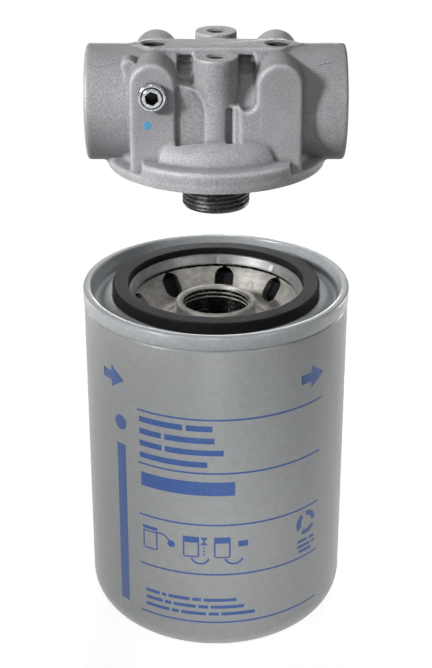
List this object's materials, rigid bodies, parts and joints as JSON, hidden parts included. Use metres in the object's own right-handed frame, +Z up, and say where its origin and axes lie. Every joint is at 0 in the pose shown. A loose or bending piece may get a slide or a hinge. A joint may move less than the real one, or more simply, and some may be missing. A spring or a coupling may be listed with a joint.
{
  "type": "spin-on hydraulic filter",
  "caption": "Cast ported filter head with threaded nipple and bypass valve, over an unscrewed spin-on canister with gasket, base plate and pleated element.",
  "frame": {"origin": "centre of the flat mounting face on top of the head, between the two mounting holes", "axes": "+Z up out of the mounting face along the filter's axis, +X from the inlet port to the outlet port, -Y towards the plugged front"},
  "size_m": [0.128, 0.128, 0.2917],
  "materials": {
    "cast_aluminium": "die-cast, fine grit texture, machined faces",
    "nipple_steel": "dark oiled steel, bright thread crests",
    "plated_steel": "bright zinc plate",
    "seal_rubber": "moulded nitrile rubber",
    "valve_steel": "turned and pressed steel",
    "spring_steel": "drawn spring wire",
    "grey_enamel": "glossy grey enamel with blue print",
    "lid_enamel": "grey enamel, bare bright steel on the crimped lip",
    "gasket_rubber": "moulded rubber with fine concentric grooves",
    "plate_steel": "bare pressed steel, slightly scuffed",
    "cap_steel": "tin-plated sheet steel",
    "filter_media": "pleated glass-fibre filter paper"
  },
  "bodies": {
    "head": {"head_casting": "cast_aluminium", "threaded_nipple": "nipple_steel", "indicator_plug": "plated_steel", "plug_seal": "seal_rubber", "bypass_seat": "valve_steel", "bypass_cage": "valve_steel", "bypass_circlip": "spring_steel", "bypass_spring": "spring_steel"},
    "poppet": {"bypass_poppet": "plated_steel"},
    "canister": {"can_shell": "grey_enamel", "seaming_lid": "lid_enamel", "lid_gasket": "gasket_rubber", "base_plate": "plate_steel", "element_seal": "seal_rubber", "drain_flap": "seal_rubber", "upper_end_cap": "cap_steel", "centre_tube": "cap_steel", "pleated_media": "filter_media", "pleat_clip": "cap_steel", "lower_end_cap": "cap_steel", "support_spring": "spring_steel"}
  },
  "joints": [
    {"name": "canister_screw", "type": "slide", "parent": "head", "child": "canister", "axis": [0, 0, 1], "range_m": [0, 0.0618]},
    {"name": "bypass_lift", "type": "slide", "parent": "head", "child": "poppet", "axis": [0, 0, 1], "range_m": [0, 0.004], "stiffness_N_per_m": 900, "springref_m": -0.012, "deforming": ["bypass_spring"]}
  ]
}
